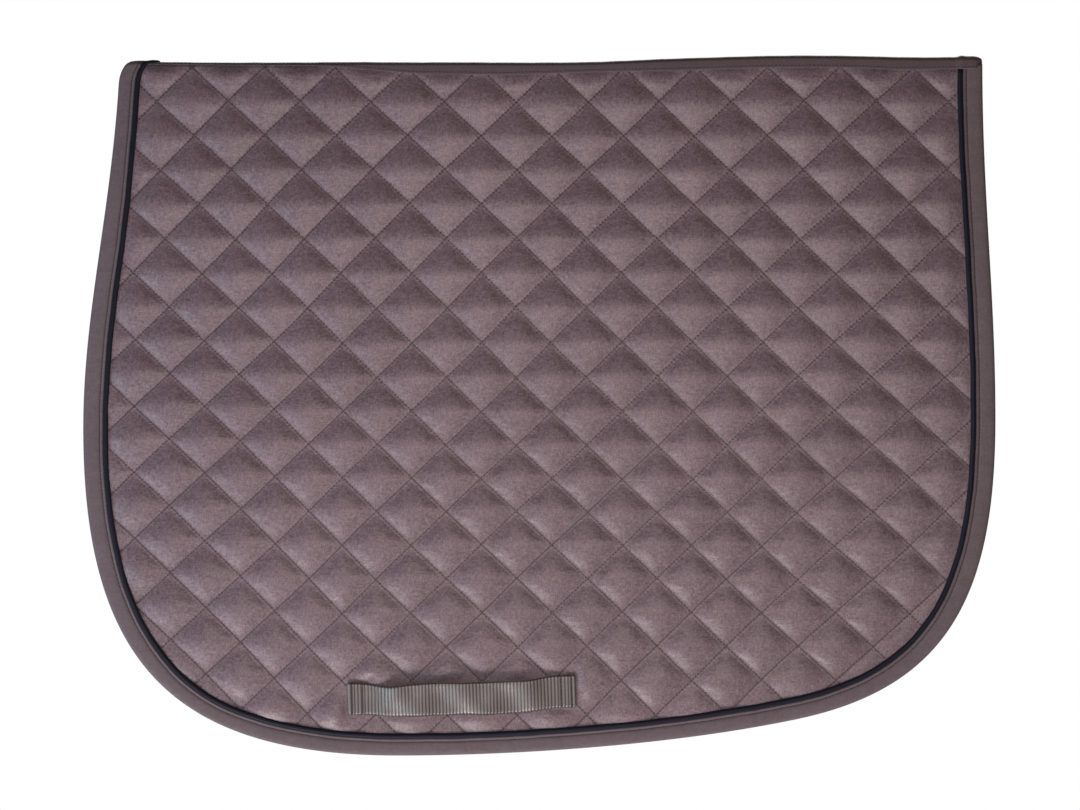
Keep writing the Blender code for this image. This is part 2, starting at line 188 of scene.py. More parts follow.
def insetOf(x, z):
    # distance in from the free edge, over many points at once
    line, _ = evenly(denseEdge(), 3 * mm)
    line = np.stack([line[:, 0], foldShape["top"] - line[:, 1]], 1)
    line = np.concatenate([[[line[0, 0], 0.05]], line, [[line[-1, 0], 0.05]]])
    a, b = line[:-1], line[1:]
    run = b - a
    along = (run**2).sum(1)
    inward = np.stack([-run[:, 1], run[:, 0]], 1) / np.sqrt(along)[:, None]
    points = np.stack([np.ravel(x), np.ravel(z)], 1)
    found = np.empty(len(points))
    for first in range(0, len(points), 4000):
        p = points[first : first + 4000, None, :] - a[None]
        t = np.clip((p * run).sum(2) / along, 0, 1)
        gap = p - t[..., None] * run
        far = np.sqrt((gap**2).sum(2))
        best = far.argmin(1)
        rows = np.arange(len(best))
        sign = np.sign((gap[rows, best] * inward[best]).sum(1))
        found[first : first + 4000] = far[rows, best] * np.where(sign == 0, 1, sign)
    return found.reshape(np.shape(x))


# mesh makers
def newPiece(name, points, faces, material, smoothShade=True):
    mesh = bpy.data.meshes.new(name)
    points = np.asarray(points, np.float32)
    mesh.vertices.add(len(points))
    mesh.vertices.foreach_set("co", points.ravel())
    counts = np.array([len(f) for f in faces], np.int32)
    mesh.loops.add(int(counts.sum()))
    mesh.loops.foreach_set("vertex_index", np.concatenate([np.asarray(f, np.int32) for f in faces]))
    mesh.polygons.add(len(faces))
    mesh.polygons.foreach_set("loop_start", np.concatenate([[0], np.cumsum(counts)[:-1]]).astype(np.int32))
    mesh.update(calc_edges=True)
    mesh.validate()
    if smoothShade:
        mesh.shade_smooth()
    piece = bpy.data.objects.new(name, mesh)
    scene.collection.objects.link(piece)
    mesh.materials.append(material)
    return piece


def numberOn(piece, name, values):
    layer = piece.data.attributes.new(name, "FLOAT", "POINT")
    layer.data.foreach_set("value", np.asarray(values, np.float32).ravel())


def facesOfTube(rings, around, flip):
    # quads between rings, closed round each ring, with both ends capped
    i, j = np.meshgrid(np.arange(rings - 1), np.arange(around), indexing="ij")
    k = (j + 1) % around
    quads = np.stack([i * around + j, i * around + k, (i + 1) * around + k, (i + 1) * around + j], -1)
    quads = quads.reshape(-1, 4)
    caps = [np.arange(around)[::-1], np.arange(around) + (rings - 1) * around]
    faces = list(quads) + caps
    return [f[::-1] for f in faces] if flip else faces


def sweptPiece(name, frames, profile, side, material, adjust):
    # a closed profile of (inset, level) carried round the free edge
    profile = np.asarray(profile, float)
    inset = np.repeat(profile[None, :, 0], len(frames["run"]), 0)
    level = np.repeat(profile[None, :, 1], len(frames["run"]), 0)
    inset, level = adjust(frames, inset, level)
    points = (
        frames["middle"][:, None]
        + frames["into"][:, None] * inset[..., None]
        + frames["out"][:, None] * level[..., None]
    )
    rings, around = inset.shape
    piece = newPiece(name, points.reshape(-1, 3), facesOfTube(rings, around, side < 0), material)
    numberOn(piece, "acrossEdge", np.tile(profile[:, 0], rings))
    return piece


def stitchPiece(name, centres, along, out, length, radius, material):
    # one short sunken loop of thread for each stitch, all in one mesh
    centres, along, out = (np.asarray(a, float) for a in (centres, along, out))
    side = np.cross(along, out)
    stations = np.array([-0.5, -0.28, 0.28, 0.5]) * length
    sink = np.array([-1.0, 0.15, 0.15, -1.0]) * radius
    size = np.array([0.55, 1.0, 1.0, 0.55]) * radius
    corners = np.radians([45, 135, 225, 315])
    rings = []
    for s, d, r in zip(stations, sink, size):
        for a in corners:
            rings.append(centres + along * s + out * (d + r * math.sin(a)) + side * (r * math.cos(a)))
    points = np.stack(rings, 1).reshape(-1, 3)
    pattern = [(3, 2, 1, 0), (12, 13, 14, 15)]
    for i in range(3):
        for j in range(4):
            k = (j + 1) % 4
            pattern.append((4 * i + j, 4 * i + k, 4 * i + 4 + k, 4 * i + 4 + j))
    faces = (np.arange(len(centres))[:, None, None] * 16 + np.array(pattern)[None]).reshape(-1, 4)
    return newPiece(name, points, list(faces), material)


def foldedPoint(side, x, unrolled, lift):
    # a point on the outside of the folded pad. unrolled is its height with the fold laid
    # out straight, and lift is how far it stands off the pressed cloth.
    half, rise = foldShape["halfThickness"], foldShape["rise"]
    centre = -foldSag(x)
    turn = np.clip((unrolled - centre) / (0.5 * (half + rise)), 0, math.pi / 2)
    over = unrolled > centre
    y = side * np.where(over, (half + lift) * np.cos(turn), half + lift)
    z = np.where(over, centre + (rise + lift) * np.sin(turn), unrolled)
    return np.stack(np.broadcast_arrays(x, y, z), -1)


def topOfFold(x):
    return -foldSag(x) + 0.5 * (foldShape["halfThickness"] + foldShape["rise"]) * math.pi / 2


def bendOver(piece):
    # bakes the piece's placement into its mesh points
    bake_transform(piece)


# shader node groups, each an effect that several cloths share
def newGroup(name, inputs, outputs):
    group = bpy.data.node_groups.new(name, "ShaderNodeTree")
    for label, kind, value in inputs:
        socket = group.interface.new_socket(label, in_out="INPUT", socket_type=kind)
        if value is not None:
            socket.default_value = value
    for label, kind in outputs:
        group.interface.new_socket(label, in_out="OUTPUT", socket_type=kind)
    return group, group.nodes.new("NodeGroupInput"), group.nodes.new("NodeGroupOutput")


def mathNode(tree, operation, a, b=None, clamp=False):
    node = tree.nodes.new("ShaderNodeMath")
    node.operation = operation
    node.use_clamp = clamp
    for socket, value in zip(node.inputs, (a, b)):
        if value is None:
            continue
        if isinstance(value, (int, float)):
            socket.default_value = value
        else:
            tree.links.new(value, socket)
    return node.outputs[0]


def noiseNode(tree, vector, scale, detail=2.0, roughness=0.5):
    node = tree.nodes.new("ShaderNodeTexNoise")
    if isinstance(scale, (int, float)):
        node.inputs["Scale"].default_value = scale
    else:
        tree.links.new(scale, node.inputs["Scale"])
    node.inputs["Detail"].default_value = detail
    node.inputs["Roughness"].default_value = roughness
    tree.links.new(vector, node.inputs["Vector"])
    return node.outputs["Fac"]


def stretched(tree, vector, scale):
    node = tree.nodes.new("ShaderNodeVectorMath")
    node.operation = "MULTIPLY"
    tree.links.new(vector, node.inputs[0])
    node.inputs[1].default_value = scale
    return node.outputs[0]


def mixColour(tree, share, first, second):
    node = tree.nodes.new("ShaderNodeMix")
    node.data_type = "RGBA"
    for socket, value in ((node.inputs[0], share), (node.inputs[6], first), (node.inputs[7], second)):
        if isinstance(value, (int, float, tuple)):
            socket.default_value = value
        else:
            tree.links.new(value, socket)
    return node.outputs[2]


def makeClothGrain():
    # the weave: two sets of fine yarns crossing, broken up by slubs
    group, given, made = newGroup(
        "clothGrain",
        [
            ("Vector", "NodeSocketVector", None),
            ("Yarns", "NodeSocketFloat", 1600.0),
            ("Slubs", "NodeSocketFloat", 0.5),
        ],
        [("Height", "NodeSocketFloat"), ("Shade", "NodeSocketFloat")],
    )
    split = group.nodes.new("ShaderNodeSeparateXYZ")
    group.links.new(given.outputs["Vector"], split.inputs[0])
    yarns = given.outputs["Yarns"]
    crossing = mathNode(group, "ADD", split.outputs["X"], split.outputs["Y"])
    warpTurn = mathNode(group, "MULTIPLY", crossing, mathNode(group, "MULTIPLY", yarns, 4.0))
    weftTurn = mathNode(group, "MULTIPLY", split.outputs["Z"], mathNode(group, "MULTIPLY", yarns, 4.4))
    checked = mathNode(
        group, "MULTIPLY", mathNode(group, "SINE", warpTurn), mathNode(group, "SINE", weftTurn)
    )
    lengthwise = noiseNode(group, stretched(group, given.outputs["Vector"], (0.30, 0.30, 1.0)), yarns, 1.0)
    upright = noiseNode(group, stretched(group, given.outputs["Vector"], (1.0, 1.0, 0.30)), yarns, 1.0)
    slubs = mathNode(group, "MULTIPLY", mathNode(group, "ADD", lengthwise, upright), 0.5)
    uneven = mathNode(group, "MULTIPLY", mathNode(group, "SUBTRACT", slubs, 0.5), given.outputs["Slubs"])
    height = mathNode(group, "ADD", mathNode(group, "MULTIPLY", checked, 0.25), uneven)
    shade = mathNode(group, "MULTIPLY", uneven, 1.6)
    group.links.new(mathNode(group, "ADD", height, 0.5, clamp=True), made.inputs["Height"])
    group.links.new(mathNode(group, "ADD", shade, 0.5, clamp=True), made.inputs["Shade"])
    return group


def makeSatinStreaks():
    # long floats of yarn catch the light in streaks along the cloth, over slow mottling
    group, given, made = newGroup(
        "satinStreaks",
        [
            ("Vector", "NodeSocketVector", None),
            ("Streaks", "NodeSocketFloat", 420.0),
            ("Mottle", "NodeSocketFloat", 9.0),
        ],
        [("Streak", "NodeSocketFloat"), ("Mottle", "NodeSocketFloat")],
    )
    flat = stretched(group, given.outputs["Vector"], (0.10, 0.10, 1.0))
    streak = noiseNode(group, flat, given.outputs["Streaks"], 3.0, 0.6)
    mottle = noiseNode(group, given.outputs["Vector"], given.outputs["Mottle"], 3.0)
    group.links.new(streak, made.inputs["Streak"])
    group.links.new(mottle, made.inputs["Mottle"])
    return group


def makeQuiltSeams():
    # around each line of quilting: the drawn-in line itself and the needle holes, as masks for painted
    # shade, and the tiny puckers that run off it. The cell numbers are whole on the stitch lines.
    group, given, made = newGroup(
        "quiltSeams",
        [
            ("Rows", "NodeSocketFloat", 0.0),
            ("Columns", "NodeSocketFloat", 0.0),
            ("Cell", "NodeSocketFloat", 38.0),
            ("Stitch", "NodeSocketFloat", 2.9),
        ],
        [("Line", "NodeSocketFloat"), ("Holes", "NodeSocketFloat"), ("Puckers", "NodeSocketFloat")],
    )

    def seam(across, along):
        # distance from the nearest line, in millimetres, and a wave with one beat a stitch
        part = mathNode(group, "FRACT", mathNode(group, "ADD", across, 0.5))
        half = mathNode(group, "ABSOLUTE", mathNode(group, "SUBTRACT", part, 0.5))
        far = mathNode(group, "MULTIPLY", half, given.outputs["Cell"])
        run = mathNode(group, "MULTIPLY", along, given.outputs["Cell"])
        beats = mathNode(group, "DIVIDE", run, given.outputs["Stitch"])
        wave = mathNode(group, "COSINE", mathNode(group, "MULTIPLY", beats, math.tau))
        line = mathNode(group, "SUBTRACT", 1.0, mathNode(group, "DIVIDE", far, 1.1), clamp=True)
        near = mathNode(group, "SUBTRACT", 1.0, mathNode(group, "DIVIDE", far, 4.0), clamp=True)
        beside = mathNode(group, "SUBTRACT", 1.0, far, clamp=True)
        hole = mathNode(group, "MULTIPLY", beside, mathNode(group, "GREATER_THAN", wave, 0.45))
        return line, hole, mathNode(group, "MULTIPLY", mathNode(group, "MULTIPLY", near, near), wave)

    first = seam(given.outputs["Rows"], given.outputs["Columns"])
    second = seam(given.outputs["Columns"], given.outputs["Rows"])
    for label, a, b in zip(("Line", "Holes"), first, second):
        group.links.new(mathNode(group, "MAXIMUM", a, b), made.inputs[label])
    group.links.new(mathNode(group, "ADD", first[2], second[2]), made.inputs["Puckers"])
    return group


def useGroup(tree, group, **values):
    node = tree.nodes.new("ShaderNodeGroup")
    node.node_tree = group
    for name, value in values.items():
        if isinstance(value, (int, float)):
            node.inputs[name].default_value = value
        else:
            tree.links.new(value, node.inputs[name])
    return node.outputs


def startMaterial(name, roughness, sheen=0.0, sheenRoughness=0.5, specular=0.5):
    material = bpy.data.materials.new(name)
    material.use_nodes = True
    tree = material.node_tree
    shader = tree.nodes["Principled BSDF"]
    shader.inputs["Roughness"].default_value = roughness
    shader.inputs["Sheen Weight"].default_value = sheen
    shader.inputs["Sheen Roughness"].default_value = sheenRoughness
    shader.inputs["Specular IOR Level"].default_value = specular
    place = tree.nodes.new("ShaderNodeTexCoord").outputs["Object"]
    return material, tree, shader, place


def addBump(tree, shader, layers):
    # layers are (height socket, strength, distance in metres), from the broadest to the finest
    normal = None
    for height, strength, distance in layers:
        node = tree.nodes.new("ShaderNodeBump")
        node.inputs["Strength"].default_value = strength
        node.inputs["Distance"].default_value = distance
        tree.links.new(height, node.inputs["Height"])
        if normal is not None:
            tree.links.new(normal, node.inputs["Normal"])
        normal = node.outputs["Normal"]
    tree.links.new(normal, shader.inputs["Normal"])


def readNumber(tree, name):
    node = tree.nodes.new("ShaderNodeAttribute")
    node.attribute_name = name
    return node.outputs["Fac"]


clothGrain = makeClothGrain()
satinStreaks = makeSatinStreaks()
quiltSeams = makeQuiltSeams()

shellCloth = {
    "dark": (0.105, 0.068, 0.078, 1),
    "light": (0.240, 0.172, 0.190, 1),
    # seam is painted shade: the colour the stitched valleys and needle holes are darkened to
    "seam": (0.040, 0.026, 0.030, 1),
    "roughness": 0.39,
    "sheen": 0.25,
}

liningCloth = {
    "dark": (0.110, 0.090, 0.094, 1),
    "light": (0.165, 0.138, 0.144, 1),
    # seam is painted shade: the colour the stitched valleys and needle holes are darkened to
    "seam": (0.055, 0.044, 0.048, 1),
    "roughness": 0.78,
    "sheen": 0.15,
}


def makeQuiltedCloth(name, cloth, cell):
    material, tree, shader, place = startMaterial(name, cloth["roughness"], cloth["sheen"], 0.45, 0.55)
    streaks = useGroup(tree, satinStreaks, Vector=place)
    grain = useGroup(tree, clothGrain, Vector=place, Yarns=1150.0, Slubs=1.9)
    rows, columns = readNumber(tree, "quiltRow"), readNumber(tree, "quiltColumn")
    seams = useGroup(tree, quiltSeams, Rows=rows, Columns=columns, Cell=cell)
    # the streaks lighten the base colour along the yarn floats: painted sheen
    paintedStreakSheen = mathNode(tree, "MULTIPLY", streaks["Streak"], 0.35)
    shade = mathNode(tree, "ADD", paintedStreakSheen, mathNode(tree, "MULTIPLY", streaks["Mottle"], 0.45))
    shade = mathNode(tree, "ADD", shade, mathNode(tree, "SUBTRACT", grain["Shade"], 0.4), clamp=True)
    colour = mixColour(tree, shade, cloth["dark"], cloth["light"])
    # painted shade: the drawn-in stitch lines and the needle holes are darkened with the seam colour
    colour = mixColour(tree, mathNode(tree, "MULTIPLY", seams["Line"], 0.62), colour, cloth["seam"])
    colour = mixColour(tree, mathNode(tree, "MULTIPLY", seams["Holes"], 0.95), colour, cloth["seam"])
    tree.links.new(colour, shader.inputs["Base Color"])
    gloss = mathNode(tree, "MULTIPLY", streaks["Streak"], 0.22)
    rough = mathNode(tree, "SUBTRACT", cloth["roughness"] + 0.12, gloss)
    tree.links.new(rough, shader.inputs["Roughness"])
    addBump(tree, shader, [
        (seams["Puckers"], 0.30, 0.22 * mm),
        (streaks["Streak"], 0.22, 0.20 * mm),
        (grain["Height"], 0.60, 0.14 * mm),
    ])
    return material


def makeWovenCloth(name, dark, light, roughness, yarns, sheen, specular=0.35, bumpStrength=0.5):
    material, tree, shader, place = startMaterial(name, roughness, sheen, 0.5, specular)
    grain = useGroup(tree, clothGrain, Vector=place, Yarns=yarns, Slubs=1.0)
    streaks = useGroup(tree, satinStreaks, Vector=place, Streaks=260.0, Mottle=22.0)
    # the streaks lighten the base colour: painted sheen
    paintedStreakSheen = mathNode(tree, "MULTIPLY", streaks["Streak"], 0.25)
    shade = mathNode(tree, "ADD", mathNode(tree, "MULTIPLY", streaks["Mottle"], 0.35), paintedStreakSheen)
    shade = mathNode(tree, "ADD", shade, mathNode(tree, "MULTIPLY", grain["Shade"], 0.7), clamp=True)
    tree.links.new(mixColour(tree, shade, dark, light), shader.inputs["Base Color"])
    addBump(tree, shader, [(streaks["Mottle"], 0.25, 0.5 * mm), (grain["Height"], bumpStrength, 0.12 * mm)])
    return material


def paintSeamShade(material, name, at, width, amount):
    # painted shade along the line where the stitching draws the cloth in, at one place across it
    tree = material.node_tree
    shader = tree.nodes["Principled BSDF"]
    link = shader.inputs["Base Color"].links[0]
    far = mathNode(tree, "ABSOLUTE", mathNode(tree, "SUBTRACT", readNumber(tree, name), at))
    beside = mathNode(tree, "SUBTRACT", 1.0, mathNode(tree, "DIVIDE", far, width), clamp=True)
    line = mathNode(tree, "MULTIPLY", beside, amount)
    colour = mixColour(tree, line, link.from_socket, (0.018, 0.013, 0.016, 1))
    tree.links.new(colour, shader.inputs["Base Color"])


def makePlainThread(name, dark, light, roughness, twist=900.0):
    material, tree, shader, place = startMaterial(name, roughness, 0.3, 0.4, 0.4)
    fibres = noiseNode(tree, stretched(tree, place, (1.0, 1.0, 2.2)), twist, 2.0)
    tree.links.new(mixColour(tree, fibres, dark, light), shader.inputs["Base Color"])
    addBump(tree, shader, [(fibres, 0.5, 0.15 * mm)])
    return material


def makeWebbing(name):
    # thick glossy yarns across the width, with painted shade in the gaps between them and along both edges
    material, tree, shader, place = startMaterial(name, 0.33, 0.3, 0.3, 0.7)
    rib = readNumber(tree, "ribAndEdgeShading")
    fibres = noiseNode(tree, stretched(tree, place, (2.2, 1.0, 0.5)), 900.0, 3.0)
    patch = noiseNode(tree, place, 70.0, 2.0)
    patchy = mathNode(tree, "MULTIPLY", patch, 0.4)
    shade = mathNode(tree, "ADD", mathNode(tree, "MULTIPLY", fibres, 0.6), patchy)
    light = mixColour(tree, shade, (0.135, 0.115, 0.108, 1), (0.275, 0.240, 0.221, 1))
    # painted shade: dark in the gaps between the ribs and along the webbing's edges
    ribGapShaded = mixColour(tree, rib, (0.030, 0.024, 0.024, 1), light)
    sewn = readNumber(tree, "sewnBand")
    tree.links.new(mixColour(tree, sewn, ribGapShaded, (0.040, 0.031, 0.033, 1)), shader.inputs["Base Color"])
    addBump(tree, shader, [(fibres, 0.45, 0.18 * mm)])
    return material


cellSide = math.hypot(27.6, 26.1)
shellMaterial = makeQuiltedCloth("shellSatin", shellCloth, cellSide)
liningMaterial = makeQuiltedCloth("liningCotton", liningCloth, cellSide)
bindingMaterial = makeWovenCloth(
    "bindingTwill", (0.070, 0.050, 0.055, 1), (0.160, 0.122, 0.132, 1), 0.78, 1000.0, 0.12
)
# painted shade along the binding's stitched groove
paintSeamShade(bindingMaterial, "acrossEdge", 12.6 * mm, 0.75 * mm, 0.85)
# the tape's colours are darker than its cloth: partly its own colour, partly painted shade for its
# upward-facing curve
tapeMaterial = makeWovenCloth(
    "spineTapeTwill", (0.055, 0.036, 0.041, 1), (0.118, 0.084, 0.092, 1), 0.75, 1100.0, 0.15
)
pipingMaterial = makeWovenCloth(
    "pipingSatin", (0.0040, 0.0044, 0.009, 1), (0.010, 0.011, 0.021, 1), 0.50, 1800.0, 0.05, 0.15, 0.3
)
# both threads are darker than the cloth they are sewn in: partly their own colour, partly painted shade of
# the grooves they sit in
threadMaterial = makePlainThread("threadTaupe", (0.030, 0.022, 0.025, 1), (0.070, 0.052, 0.057, 1), 0.7)
quiltingThread = makePlainThread("threadQuilting", (0.042, 0.029, 0.032, 1), (0.092, 0.067, 0.072, 1), 0.7)
webbingMaterial = makeWebbing("webbingGrey")
waddingMaterial = makePlainThread("waddingFibre", (0.66, 0.65, 0.62, 1), (0.86, 0.85, 0.83, 1), 0.95, 240.0)
cordMaterial = makePlainThread("cordCotton", (0.60, 0.58, 0.54, 1), (0.78, 0.76, 0.72, 1), 0.9, 700.0)
print("materials made")


# the quilted cloth of one flap
quilt = {
    "length": 55.2 * mm,
    "height": 52.2 * mm,
    "x": 9.5 * mm,
    "depth": 114.8 * mm,
    "fineness": 16,
    "valley": 0.2 * mm,
    "puff": 4.4 * mm,
    "start": 4.2 * mm,
    "seamInset": 17.4 * mm,
    "edgeUnderBinding": 6.0 * mm,
    "wobble": 0.55 * mm,
}


def tapeWidth(x, side):
    # how far the spine tape comes down this flap from the top of the fold
    near = 4.4 + 7.8 * smooth(x, -0.205, -0.070) - 1.3 * bump(x, 0.047, 0.045) + 0.30 * ripple(x, 0.16, 5)
    return (near if side < 0 else 24.5 - near) * mm


def latticePlace(row, column):
    # x and depth of a point of the quilting, with the slight drift of a real quilting run
    across, down = (row + column) / 2, (row - column) / 2
    x = quilt["x"] + quilt["length"] * across
    depth = quilt["depth"] + quilt["height"] * down
    # the quilted cloth has drawn in a little lengthwise, more so lower down
    drawn = 0.027 * (0.008 - x) * (1 - 0.7 * smooth(x, 0.18, 0.28)) + 2.8 * mm * smooth(-x, 0.12, 0.25)
    x = x + drawn * smooth(depth, 0.02, 0.22)
    raised = 5.5 * mm * smooth(-x, 0.15, 0.30) * smooth(depth, 0.15, 0.35)
    depth = depth + 2.3 * mm * bump(depth, 0.27, 0.11) - raised
    w = quilt["wobble"]
    x2 = x + w * (np.sin(x / 0.041 + depth / 0.067 + 1.1) + 0.6 * np.sin(x / 0.019 - depth / 0.028))
    depth2 = depth + w * (np.sin(depth / 0.037 - x / 0.071 + 0.4) + 0.6 * np.sin(x / 0.023 + depth / 0.031))
    return x2, depth2


def flapHeight(x, unrolled, side):
    # 1 in the open quilting, and 0 where the cloth is sewn down at the piping or the spine tape
    inset = insetOf(x, unrolled) + narrowing(x, unrolled)
    corner = cornerInset(topOfFold(x) - unrolled - 2 * mm, frontCorner)
    inset = inset - np.where(x < 0, corner, 0)
    belowTape = topOfFold(x) - unrolled - np.maximum(tapeWidth(x, side), 3.2 * mm)
    return np.minimum(inset - quilt["seamInset"], belowTape), inset


def quiltGrid(fineness):
    side = range(-16 * fineness, 16 * fineness + 1)
    i, j = np.meshgrid(side, side, indexing="ij")
    row, column = i / fineness, j / fineness
    x, depth = latticePlace(row, column)
    unrolled = foldShape["top"] - depth
    near = (np.abs(x) < 0.355) & (depth > -0.01) & (depth < 0.545)
    return row, column, x, unrolled, near


def quiltedFaces(keep):
    number = np.full(keep.shape, -1)
    whole = keep[:-1, :-1] & keep[1:, :-1] & keep[1:, 1:] & keep[:-1, 1:]
    used = np.zeros(keep.shape, bool)
    for a, b in ((0, 0), (1, 0), (1, 1), (0, 1)):
        used[a : used.shape[0] - 1 + a, b : used.shape[1] - 1 + b] |= whole
    number[used] = np.arange(used.sum())
    i, j = np.nonzero(whole)
    quads = np.stack([number[i, j], number[i + 1, j], number[i + 1, j + 1], number[i, j + 1]], 1)
    return used, quads


def pillow(row, column):
    # the weave is stiffer lengthwise, so each diamond fills out with a soft ridge from corner to corner
    a, b = row - np.floor(row), column - np.floor(column)
    ridge = 1 - 0.38 * np.abs(a - b) ** 1.1
    return np.clip(16 * a * (1 - a) * b * (1 - b), 0, 1) ** 0.80 * ridge


filling = {"pressure": 4.0, "slack": -0.003, "frames": 10}


def fillBySimulation(piece, pinned):
    # the filling pushes the cloth out between its stitches
    group = piece.vertex_groups.new(name="stitched")
    group.add([int(k) for k in np.nonzero(pinned)[0]], 1.0, "REPLACE")
    modifier = piece.modifiers.new("filling", "CLOTH")
    cloth = modifier.settings
    cloth.quality = 4
    cloth.mass = 0.12
    cloth.tension_stiffness = 18
    cloth.compression_stiffness = 18
    cloth.shear_stiffness = 6
    cloth.bending_stiffness = 0.02
    cloth.air_damping = 3
    cloth.vertex_group_mass = "stitched"
    cloth.use_pressure = True
    cloth.uniform_pressure_force = filling["pressure"]
    cloth.shrink_min = filling["slack"]
    cloth.effector_weights.gravity = 0
    modifier.collision_settings.use_collision = False
    modifier.collision_settings.use_self_collision = False
    modifier.point_cache.frame_start, modifier.point_cache.frame_end = 1, filling["frames"]
    for k in range(1, filling["frames"] + 1):
        scene.frame_set(k)
    graph = bpy.context.evaluated_depsgraph_get()
    evaluated = piece.evaluated_get(graph)
    found = np.empty(len(piece.data.vertices) * 3, np.float32)
    evaluated.data.vertices.foreach_get("co", found)
    piece.modifiers.remove(modifier)
    piece.vertex_groups.remove(group)
    scene.frame_set(1)
    return found.reshape(-1, 3).astype(float)


def quiltedFlap(side, fineness):
    row, column, x, unrolled, near = quiltGrid(fineness)
    openness, inset = np.full(x.shape, -1.0), np.full(x.shape, -1.0)
    openness[near], inset[near] = flapHeight(x[near], unrolled[near], side)
    keep = (inset > quilt["edgeUnderBinding"]) & (unrolled < topOfFold(x) - 0.4 * mm)
    used, quads = quiltedFaces(keep)
    row, column, x, unrolled, openness = (a[used] for a in (row, column, x, unrolled, openness))
    onLine = (np.abs(row - np.round(row)) < 1e-6) | (np.abs(column - np.round(column)) < 1e-6)
    height = pillow(row, column) * np.clip(openness / (13 * mm), 0, 1) ** 0.6
    pinned = onLine | (openness <= 0)
    a, w = keeperPlace(x, unrolled)
    for end in (-1, 1):  # the keeper's sewn ends hold the quilting down under them
        beyond = np.maximum(np.abs(a - end * 80 * mm) - 6.5 * mm, np.abs(w) - 12 * mm)
        pinned |= beyond < 0
        height = height * np.clip(beyond / (9 * mm), 0, 1)
    height = height * (1 - 0.55 * underKeeper(x, unrolled))
    return row, column, x, unrolled, quads, height, pinned


keeper = {
    "x": -59.5 * mm,
    "z": foldShape["top"] - 491 * mm,
    "tilt": math.radians(2),
    "halfLength": 87 * mm,
    "halfWidth": 12.5 * mm,
    "tab": 13.5 * mm,
    "thickness": 1.3 * mm,
    "rib": 2.6 * mm,
    "ribHeight": 0.36 * mm,
    "sewnLevel": 7.2 * mm,
    "freeLevel": 11.6 * mm,
}


def keeperPlace(x, z):
    # along and across the keeper
    dx, dz = x - keeper["x"], z - keeper["z"]
    c, s = math.cos(keeper["tilt"]), math.sin(keeper["tilt"])
    return dx * c + dz * s, dz * c - dx * s


def underKeeper(x, z):
    # 1 behind the webbing, where the quilting is pressed back, fading out round it
    a, w = keeperPlace(x, z)
    return (1 - smooth(np.abs(a), 84 * mm, 94 * mm)) * (1 - smooth(np.abs(w), 11 * mm, 21 * mm))


def buildQuilting():
    row, column, x, unrolled, quads, height, pinned = quiltedFlap(nearSide, quilt["fineness"])
    lift = quilt["valley"] + quilt["start"] * np.where(pinned, 0, height)
    start = np.stack([x, -(foldShape["halfThickness"] + lift), unrolled], 1)
    helper = newPiece("fillingHelper", start, list(quads), shellMaterial)
    after = fillBySimulation(helper, pinned)
    filled = -after[:, 1] - foldShape["halfThickness"]
    moved = after[:, [0, 2]]
    print("filling: highest", round(float(filled.max() / mm), 2), "mm")
    bpy.data.objects.remove(helper)
    filled = np.minimum(filled, 5.4 * mm - 3.3 * mm * underKeeper(moved[:, 0], moved[:, 1]))
    return {"row": row, "column": column, "moved": moved, "lift": filled, "quads": quads}


filled = buildQuilting()
print("quilting filled")


def shellPiece(side):
    f = filled
    x, unrolled = f["moved"][:, 0], f["moved"][:, 1]
    lift = np.clip(f["lift"], 0, 5.4 * mm)
    if side == offSide:  # the tape comes further down this side, over the same quilting
        under = smooth(topOfFold(x) - unrolled - tapeWidth(x, side), 0, 9 * mm)
        lift = lift * under
    faded = lift * smooth(topOfFold(x) - unrolled, 2 * mm, 12 * mm)
    points = foldedPoint(side, x, unrolled, faded)
    quads = f["quads"] if side < 0 else f["quads"][:, ::-1]
    piece = newPiece(nameOf[side] + "QuiltedShell", points, list(quads), shellMaterial)
    numberOn(piece, "quiltRow", f["row"])
    numberOn(piece, "quiltColumn", f["column"])
    bendOver(piece)
    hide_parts(nameOf[side] + "_outer_shell")


for side in (nearSide, offSide):
    shellPiece(side)
print("shells made")


def plainGrid(side, fineness, top):
    # the same quilting, stopping at a height below the fold, for the layers on the inside
    row, column, x, unrolled, quads, height, _ = quiltedFlap(side, fineness)
    kept = unrolled < -foldSag(x) + top
    used = kept[quads].all(1)
    number = np.full(len(x), -1)
    touched = np.unique(quads[used])
    number[touched] = np.arange(len(touched))
    row, column, x, unrolled, height = (a[touched] for a in (row, column, x, unrolled, height))
    return row, column, x, unrolled, number[quads[used]], height


lining = {"level": 1.5 * mm, "puff": 0.95 * mm, "fineness": 8}


def liningPiece(side):
    row, column, x, unrolled, quads, height = plainGrid(side, lining["fineness"], 0.5 * mm)
    level = lining["level"] - lining["puff"] * height
    points = np.stack([x, side * level, unrolled], 1)
    quads = quads[:, ::-1] if side < 0 else quads
    piece = newPiece(nameOf[side] + "QuiltedLining", points, list(quads), liningMaterial)
    numberOn(piece, "quiltRow", row)
    numberOn(piece, "quiltColumn", column)
    bendOver(piece)
    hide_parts(nameOf[side] + "_lining")


